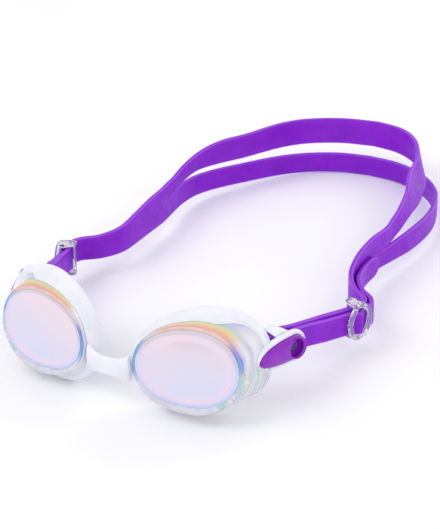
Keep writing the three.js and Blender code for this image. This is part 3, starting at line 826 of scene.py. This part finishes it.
def tail_rings(label, side):
    """Free end of the strap and its outer layer, from the rounded tip forward to the clip."""
    slider = SLIDERS[label]
    half = TAIL_HEIGHT / 2
    route = side_route(label)
    samples = spline(route, 14)
    total = slit_place(label)
    end = TAIL_END * total
    near_tip = 0.9 * end
    tip = [s for s in spline(route, 84) if near_tip < s[0] <= end]
    samples = [s for s in samples if s[0] <= near_tip] + tip
    rings = []
    for place, point, tangent in samples:
        t = place / total
        along = point[1] - slider.y
        swell = min(1.0, abs(along) / BULGE_HALF)
        bulge = TAIL_BULGE * math.cos(swell * math.pi / 2) ** 2
        leave = smoothstep(along, *TAIL_LEAVES)
        away = TAIL_LIFT * leave * (1 - 0.85 * smoothstep(along, *TAIL_SETTLES))
        left = min(1.0, max(0.0, (TAIL_END - t) / TAIL_ROUND))
        tall = half * math.sqrt(max(0.004, 1 - (1 - left) ** 2))
        thick = STRAP_THICK * (0.55 + 0.45 * math.sqrt(max(0.0, 1 - (1 - min(1, left * 6)) ** 2)))
        middle = point[2] + half - point[3] / 2 + 0.3 * leave
        base = (point[0], point[1], middle)
        back = (-tangent[0], -tangent[1])
        rings.append(strap_ring(base, back, -tall, tall, side, -(OUTER_LAYER + bulge + away), thick=thick))
    return rings[::-1]


def eye_rings(label, side):
    """From the outer layer round the clip post and back to the inner layer."""
    slider = SLIDERS[label]
    along = (slider - POST).normalized()
    out = Vector((along.y, -along.x, 0)).normalized()
    stations = [(22.0, OUTER_LAYER, TAIL_HEIGHT), (16.0, OUTER_LAYER, TAIL_HEIGHT), (10.5, 1.3, TAIL_HEIGHT)]
    stations += [(5.5, 2.4, TAIL_HEIGHT + 0.3), (2.2, 3.2, TAIL_HEIGHT + 0.5)]
    for i in range(7):
        angle = math.pi * i / 6
        height = TAIL_HEIGHT + 0.5 + (STRAP_HEIGHT - TAIL_HEIGHT - 0.5) * i / 6
        stations.append((-EYE_RADIUS * math.sin(angle), EYE_RADIUS * math.cos(angle), height))
    stations += [(2.2, -3.2, STRAP_HEIGHT), (5.5, -2.5, STRAP_HEIGHT), (10.5, -1.6, STRAP_HEIGHT)]
    stations += [(16.0, INNER_LAYER, STRAP_HEIGHT), (22.0, INNER_LAYER, STRAP_HEIGHT)]
    route = [(*(POST + along * y + out * x), h) for y, x, h in stations]
    return [strap_ring(p[:3], d, -p[3] / 2, p[3] / 2, side) for _, p, d in spline(route, 4)[1:-1]]


def side_rings(label, side):
    """Inner layer from before the slider to the slit, then the upper band to the back of the head."""
    rings = []
    for place, point, tangent in whole_curve(label):
        if place <= slit_place(label):
            base = (point[0], point[1], point[2] - point[3] / 2)
            rings.append(strap_ring(base, tangent, 0, point[3], side, INNER_LAYER))
        if place >= slit_place(label):
            t = head_share(label, place)
            low, high, lean = upper_section(t, side)
            ease = smoothstep(t, 0, 0.12)
            base = (point[0], point[1], 0.0)
            rings.append(strap_ring(base, tangent, low, high, side, INNER_LAYER, lean * ease))
    return rings


def make_main_strap(look):
    """One unbroken strap: tail, round the left post, through the slider, over the head and back."""
    halves = [tail_rings(k, s) + eye_rings(k, s) + side_rings(k, s) for k, s in SIDES]
    rings = halves[0] + halves[1][-2::-1]
    fields = {"strap_edge_highlight": edge_highlight_field(rings)}
    strap = ring_mesh("strap_and_upper_band", rings, look, fields=fields, sharp=48)
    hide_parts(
        "left_strap_side", "right_strap_side", "left_strap_tail", "right_strap_tail", "upper_band"
    )
    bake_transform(strap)


def make_lower_band(look):
    """Lower half of the split strap, its ends just inside the strap sides."""
    halves = []
    for label, side in SIDES:
        rings = []
        for place, point, tangent in whole_curve(label):
            if place < slit_place(label) - 0.15:
                continue
            t = max(0.0, head_share(label, place))
            high = SLIT_SPLIT + (LOWER_BAND - SLIT_SPLIT) * rise(t, 0.25)
            sunk = 0.05 * (1 - smoothstep(t, 0.0, 0.03))
            floor = 0.0 if place >= slit_place(label) else point[2] - point[3] / 2
            base = (point[0], point[1], floor)
            thick = STRAP_THICK - 2 * sunk
            rings.append(strap_ring(base, tangent, sunk, high - sunk, side, INNER_LAYER, thick=thick))
        halves.append(rings)
    rings = halves[0] + halves[1][-2::-1]
    fields = {"strap_edge_highlight": edge_highlight_field(rings)}
    band = ring_mesh("lower_head_band", rings, look, fields=fields, sharp=48)
    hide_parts("lower_band")
    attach(band, "strap")


# ---- clips and sliders -------------------------------------------------------------------------
def clip_frame(side):
    """The clip's own frame: x outwards, y back along the strap, z up, zero on the post."""
    mirror = Matrix.Scale(side, 4, (1, 0, 0))
    return mirror @ Matrix.Translation(POST) @ Matrix.Rotation(-radians(CLIP_YAW), 4, "Z")


def teardrop(inset, count=96):
    """Points of the clip's teardrop outline in its y-z plane, round at the rear, narrow at the front."""
    rear = CLIP_LENGTH * CLIP_REAR - inset
    front = -CLIP_LENGTH * CLIP_FRONT + inset
    half = CLIP_HEIGHT / 2 - inset
    centre = Vector((rear - half, 0))
    tip = Vector((front, -half * 0.25))
    points = []
    for i in range(count // 2):
        turn = math.pi * i / (count // 2)
        points.append(centre + half * Vector((math.sin(turn), -math.cos(turn))))
    upper = (centre + Vector((0, half)), Vector((front * 0.5, half)), Vector((front + 1, half * 0.5)), tip)
    lower = (tip, Vector((front + 1, -half * 0.8)), Vector((front * 0.4, -half)), centre - Vector((0, half)))
    for a, b, c, d in (upper, lower):
        for i in range(count // 4):
            t = i / (count // 4)
            points.append(a * (1 - t) ** 3 + b * 3 * t * (1 - t) ** 2 + c * 3 * t * t * (1 - t) + d * t**3)
    return points


def hole_circle(radius, count=96):
    """Circle round the blind hole, its points beside those of the teardrop."""
    centre = Vector((CLIP_LENGTH * CLIP_REAR - CLIP_HEIGHT / 2 + HOLE_BACK, 0))
    points = []
    for point in teardrop(1.5, count):
        points.append(centre + (point - centre).normalized() * radius)
    return points


def raised(place, outline_points, height):
    """A flat outline of the clip set at a height outwards from the cover's underside."""
    return [place @ Vector((COVER_BASE + height, p.x, p.y)) for p in outline_points]


def cover_rings(side):
    """Glossy teardrop cover: rounded shoulder, crowned face, and a blind hole with a soft lip."""
    place = clip_frame(side)
    shoulder = [(1.5, 0.0), (1.5, 1.3), (1.56, 1.9), (1.8, 2.4), (2.2, 2.72), (2.7, 2.9)]
    rings = [raised(place, teardrop(inset), x) for inset, x in shoulder]
    rim, lip = teardrop(2.7), hole_circle(HOLE_RADIUS + 0.7)
    for i in range(1, 9):
        t = i / 8
        height = 2.9 + COVER_CROWN * math.sin(t * math.pi / 2)
        rings.append(raised(place, [a.lerp(b, t) for a, b in zip(rim, lip)], height))
    lip_profile = [(0.4, 2.85 + COVER_CROWN), (0.15, 2.65 + COVER_CROWN), (0.02, 2.6)]
    hole_profile = [(-0.1, 1.6), (-0.25, 0.75), (-0.9, 0.6), (-2.2, 0.58)]
    for wider, x in lip_profile + hole_profile:
        rings.append(raised(place, hole_circle(HOLE_RADIUS + wider), x))
    return rings


def plate_rings(side):
    """Teardrop plate behind the cover, its back edge rounded."""
    place = clip_frame(side)
    profile = [(2.2, -1.7), (0.9, -1.68), (0.4, -1.5), (0.1, -1.1)]
    profile += [(0.0, -0.6), (0.0, 0.2), (0.5, 0.5), (2.2, 0.5)]
    return [raised(place, teardrop(inset), x) for inset, x in profile]


def cheek_rings(side, end):
    """Rounded cheek that holds one end of the post, above or below the strap."""
    place = clip_frame(side)
    rings = []
    steps, around = 22, 28
    for i in range(steps + 1):
        t = i / steps
        round_off = math.sqrt(max(0.02, 1 - (1 - min(1.0, (1 - t) / 0.22)) ** 2))
        depth = COVER_BASE - 1.0 - CHEEK_REACH * t
        ring = []
        for k in range(around):
            turn = 2 * math.pi * k / around
            u = signed_power(math.cos(turn), 0.5)
            v = signed_power(math.sin(turn), 0.8)
            height = end * (STRAP_HEIGHT / 2 + CHEEK_GAP) + CHEEK_THICK * v * (0.6 + 0.4 * round_off)
            ring.append(place @ Vector((depth, 0.3 + (CHEEK_HALF - 0.8 * t) * round_off * u, height)))
        rings.append(ring)
    return rings


def rim_rings(side):
    """Rounded white rim of the clip, round the foot of the cover."""
    place = clip_frame(side)
    rings = []
    around = 16
    for outer, inner in zip(teardrop(0.0), teardrop(1.4)):
        middle, across = (outer + inner) / 2, (outer - inner).normalized()
        ring = []
        for k in range(around):
            turn = 2 * math.pi * k / around
            flat = middle + across * (RIM_RADIUS * math.cos(turn))
            depth = COVER_BASE + 0.2 + 1.15 * RIM_RADIUS * math.sin(turn)
            ring.append(place @ Vector((depth, flat.x, flat.y)))
        rings.append(ring)
    return rings


def plug_rings(side):
    """Low round button at the bottom of the blind hole."""
    place = clip_frame(side)
    profile = [(2.5, 0.62), (2.5, 0.95), (2.35, 1.1), (1.6, 1.15), (1.3, 1.05), (0.5, 1.02), (0.02, 1.02)]
    return [raised(place, hole_circle(radius, 48), x) for radius, x in profile]


def make_clip(label, side, shell, insert, hole, pin):
    clip = ring_mesh(f"{label}_clip_shell", plate_rings(side), shell, sharp=60)
    for end, level in ((-1, "low"), (1, "high")):
        cheek = ring_mesh(f"{label}_clip_cheek_{level}", cheek_rings(side, end), shell, sharp=70)
        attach(cheek, "front")
    rim = ring_mesh(f"{label}_clip_rim", rim_rings(side), shell, loop=True, sharp=70)
    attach(rim, "front")
    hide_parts(f"{label}_temple_clip")
    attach(clip, "front")
    cover = ring_mesh(f"{label}_clip_cover", cover_rings(side), insert, sharp=60)
    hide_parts(f"{label}_clip_insert")
    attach(cover, "front")
    # The button at the bottom of the hole is darkened with painted shade.
    plug = ring_mesh(f"{label}_clip_plug", plug_rings(side), hole, sharp=60)
    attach(plug, "front")
    post = frame["nodes"][f"{label}_strap_post"]
    post.material_slots[0].material = pin


def slider_frame(label, side):
    slider = SLIDERS[label]
    yaw = math.atan2(slider.x - POST.x, slider.y - POST.y)
    lean = Matrix.Rotation(-radians(SLIDER_LEAN), 4, "X")
    mirror = Matrix.Scale(side, 4, (1, 0, 0))
    return mirror @ Matrix.Translation(slider) @ Matrix.Rotation(-yaw, 4, "Z") @ lean


def slider_ring(place):
    """Oval ring: two bars across the outside of the strap, joined by legs above and below it."""
    rings = []
    count, around = 96, 20
    for i in range(count):
        angle = 2 * math.pi * i / count
        c, s = math.cos(angle), math.sin(angle)
        leg = smoothstep(abs(s), 0.82, 0.93)
        deep = SLIDER_OUTER - (SLIDER_OUTER - SLIDER_INNER) * leg
        top = SLIDER_OUTER + SLIDER_BAR * (1 - 0.15 * leg)
        bottom = deep + 0.05 - (SLIDER_BAR - 0.2) * leg
        wide = (SLIDER_RIM + 0.3 * (1 - leg)) / 2
        ring = []
        for k in range(around):
            turn = 2 * math.pi * k / around
            u = signed_power(math.cos(turn), 0.6)
            v = signed_power(math.sin(turn), 0.6)
            along, tall = SLIDER_LENGTH / 2 - wide + u * wide, SLIDER_HEIGHT / 2 - wide + u * wide
            depth = (top + bottom) / 2 + v * (top - bottom) / 2
            ring.append(place @ Vector((depth, along * c, tall * s)))
        rings.append(ring)
    return rings


def slider_bar(place):
    """Middle bar behind the inner layer, from leg to leg."""
    rings = []
    steps, around = 24, 20
    for i in range(steps + 1):
        z = (SLIDER_HEIGHT / 2 - 1.0) * (2 * i / steps - 1)
        ring = []
        for k in range(around):
            turn = 2 * math.pi * k / around
            depth = SLIDER_INNER - SLIDER_BAR / 2 + 0.15 + 0.85 * math.sin(turn)
            ring.append(place @ Vector((depth, 1.45 * math.cos(turn), z)))
        rings.append(ring)
    return rings


def make_slider(label, side, look):
    place = slider_frame(label, side)
    slider = ring_mesh(f"{label}_slider_buckle", slider_ring(place), look, loop=True)
    bar = ring_mesh("bar", slider_bar(place), look)
    work = bmesh.new()
    work.from_mesh(slider.data)
    work.from_mesh(bar.data)
    work.to_mesh(slider.data)
    work.free()
    bpy.data.objects.remove(bar)
    even_out(slider, look, 0.2, 9)
    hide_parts(f"{label}_slider")
    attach(slider, f"{label}_slider")


# ---- set -----------------------------------------------------------------------------------------
def make_floor():
    look = Look("floor_paper")
    shades = [(0.3, srgb(247, 247, 250)), (0.7, srgb(250, 250, 252))]
    look.set("Base Color", look.ramp(look.noise(60.0), shades))
    look.set("Roughness", look.span(look.noise(20.0), 0.3, 0.7, 0.75, 0.85))
    mesh = bpy.data.meshes.new("floor")
    reach = 3.0
    corners = [(-reach, -reach, 0), (reach, -reach, 0), (reach, reach, 0), (-reach, reach, 0)]
    mesh.from_pydata(corners, [], [(0, 1, 2, 3)])
    new_object("floor", mesh, look.material)


def area_light(name, place, aim, size, power):
    data = bpy.data.lights.new(name, "AREA")
    data.shape = "DISK"
    data.size = size
    data.energy = power
    lamp = bpy.data.objects.new(name, data)
    bpy.context.scene.collection.objects.link(lamp)
    lamp.location = place
    lamp.rotation_euler = (Vector(place) - Vector(aim)).to_track_quat("Z", "Y").to_euler()


def make_lights():
    scene_world = bpy.data.worlds.new("studio")
    scene_world.use_nodes = True
    background = scene_world.node_tree.nodes["Background"]
    background.inputs["Color"].default_value = (1.0, 1.0, 1.0, 1)
    background.inputs["Strength"].default_value = 0.9
    bpy.context.scene.world = scene_world
    bpy.context.scene.view_settings.view_transform = "Standard"
    area_light("key", (-0.5, -0.6, 1.0), LIGHTS_AIM, 0.7, 2.6)
    area_light("fill", (0.9, -0.7, 0.5), LIGHTS_AIM, 0.8, 1.1)
    area_light("rim", (0.3, 1.0, 0.8), LIGHTS_AIM, 0.6, 1.8)


make_camera()
make_floor()
make_lights()
strap_look = strap_silicone()
lens_look, cup_look = mirror_coating(), cup_plastic()
gasket_look = white_silicone("gasket_silicone")
clip_looks = (white_plastic(), purple_plastic(), painted_hole_shade(), pin_metal())
slider_look = clear_plastic("slider_plastic", (238, 236, 246), 0.92)
for label, side in SIDES:
    make_lens(label, side, lens_look)
    make_eyecup(label, side, cup_look)
    make_gasket(label, side, gasket_look)
    make_clip(label, side, *clip_looks)
    make_slider(label, side, slider_look)
make_bridge(white_silicone("bridge_silicone"))
make_main_strap(strap_look)
make_lower_band(strap_look)
